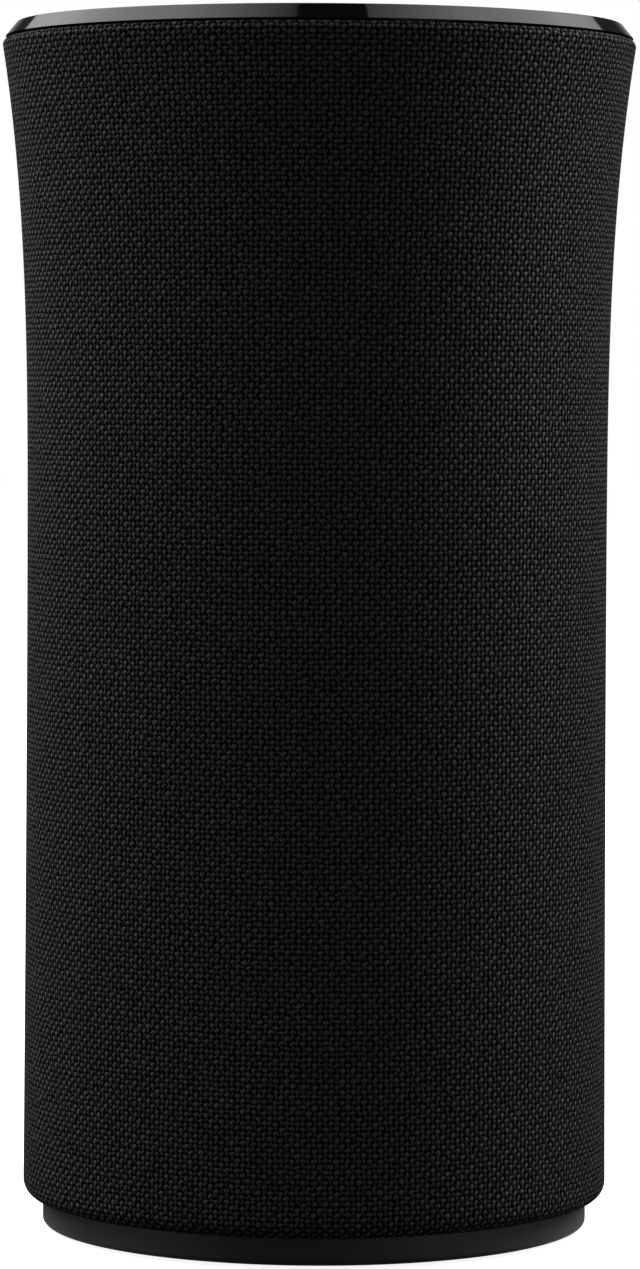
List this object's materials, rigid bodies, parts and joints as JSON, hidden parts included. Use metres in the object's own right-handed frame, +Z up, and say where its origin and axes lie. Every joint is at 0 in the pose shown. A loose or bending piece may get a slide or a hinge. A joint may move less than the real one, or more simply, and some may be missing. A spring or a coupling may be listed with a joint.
{
  "type": "smart speaker",
  "caption": "Table-top smart speaker: flared cloth-covered cylinder, glossy chamfered rim round a touch panel, matte base ring with a rubber foot and a connector bay underneath.",
  "frame": {"origin": "centre of the footprint, on the surface that the foot ring stands on", "axes": "+Z up along the body's axis; +Y towards the back, where the cable channel leaves; +X to the right seen from the front"},
  "size_m": [0.117, 0.117, 0.2232],
  "materials": {
    "black_cloth": "woven",
    "shell_plastic": "matte",
    "gloss_black": "gloss",
    "panel_black": "gloss",
    "mark_grey": "satin",
    "light_diffuser": "satin",
    "circuit_board": "satin",
    "led_body": "satin",
    "can_metal": "satin",
    "dark_plastic": "matte",
    "screw_steel": "satin",
    "surround_rubber": "matte",
    "foot_rubber": "matte",
    "cone_paper": "matte",
    "dome_metal": "satin",
    "copper": "satin",
    "spider_cloth": "woven",
    "basket_steel": "satin",
    "plate_steel": "satin",
    "ferrite": "matte",
    "wadding_white": "soft",
    "chip_black": "matte",
    "capacitor_blue": "satin",
    "heat_sink_metal": "satin",
    "connector_black": "satin",
    "plunger_red": "satin",
    "base_plastic": "matte",
    "button_plastic": "satin",
    "ribbon_film": "satin",
    "red_insulation": "satin",
    "grey_insulation": "satin"
  },
  "bodies": {
    "speaker": {"fabric_sleeve": "black_cloth", "grille_shell": "shell_plastic", "trim_ring": "gloss_black", "touch_panel": "panel_black", "touch_marks": "mark_grey", "light_ring": "light_diffuser", "touch_board": "circuit_board", "status_leds": "led_body", "microphones": "can_metal", "top_chassis": "dark_plastic", "trim_screws": "screw_steel", "chassis_screws": "screw_steel", "tweeter_lens": "dark_plastic", "tweeter_faceplate": "dark_plastic", "tweeter_screws": "screw_steel", "tweeter_surround": "surround_rubber", "tweeter_magnet": "ferrite", "woofer_lens": "dark_plastic", "lens_screws": "screw_steel", "woofer_gasket": "surround_rubber", "woofer_basket": "basket_steel", "woofer_screws": "screw_steel", "woofer_surround": "surround_rubber", "woofer_spider": "spider_cloth", "woofer_front_plate": "plate_steel", "woofer_magnet": "ferrite", "woofer_yoke": "plate_steel", "baffle": "dark_plastic", "baffle_seal": "surround_rubber", "baffle_screws": "screw_steel", "cabinet": "dark_plastic", "cabinet_wadding": "wadding_white", "main_board": "circuit_board", "board_chips": "chip_black", "board_capacitors": "capacitor_blue", "board_inductors": "chip_black", "heat_sink": "heat_sink_metal", "wireless_module": "can_metal", "antennas": "copper", "board_screws": "screw_steel", "power_jack": "connector_black", "service_port": "can_metal", "button_switches": "connector_black", "base_plate": "base_plastic", "base_ring": "base_plastic", "base_screws": "screw_steel", "foot_pad": "foot_rubber", "touch_ribbon": "ribbon_film", "woofer_leads": "red_insulation", "tweeter_leads": "grey_insulation", "antenna_leads": "grey_insulation"},
    "woofer_diaphragm": {"woofer_cone": "cone_paper", "dust_cap": "cone_paper", "voice_coil": "copper"},
    "tweeter_diaphragm": {"tweeter_dome": "dome_metal"},
    "setup_key": {"setup_button": "button_plastic", "setup_plunger": "plunger_red"},
    "pair_key": {"pair_button": "button_plastic", "pair_plunger": "plunger_red"}
  },
  "joints": [
    {"name": "woofer_stroke", "type": "slide", "parent": "speaker", "child": "woofer_diaphragm", "axis": [0, 0, 1], "range_m": [-0.003, 0.003], "stiffness_N_per_m": 1000, "deforming": ["woofer_surround", "woofer_spider"]},
    {"name": "tweeter_stroke", "type": "slide", "parent": "speaker", "child": "tweeter_diaphragm", "axis": [0, 0, 1], "range_m": [-0.0003, 0.0003], "stiffness_N_per_m": 300, "deforming": ["tweeter_surround"]},
    {"name": "setup_press", "type": "slide", "parent": "speaker", "child": "setup_key", "axis": [0, 0, 1], "range_m": [0, 0.0005], "stiffness_N_per_m": 250, "springref_m": -0.002},
    {"name": "pair_press", "type": "slide", "parent": "speaker", "child": "pair_key", "axis": [0, 0, 1], "range_m": [0, 0.0005], "stiffness_N_per_m": 250, "springref_m": -0.002}
  ]
}
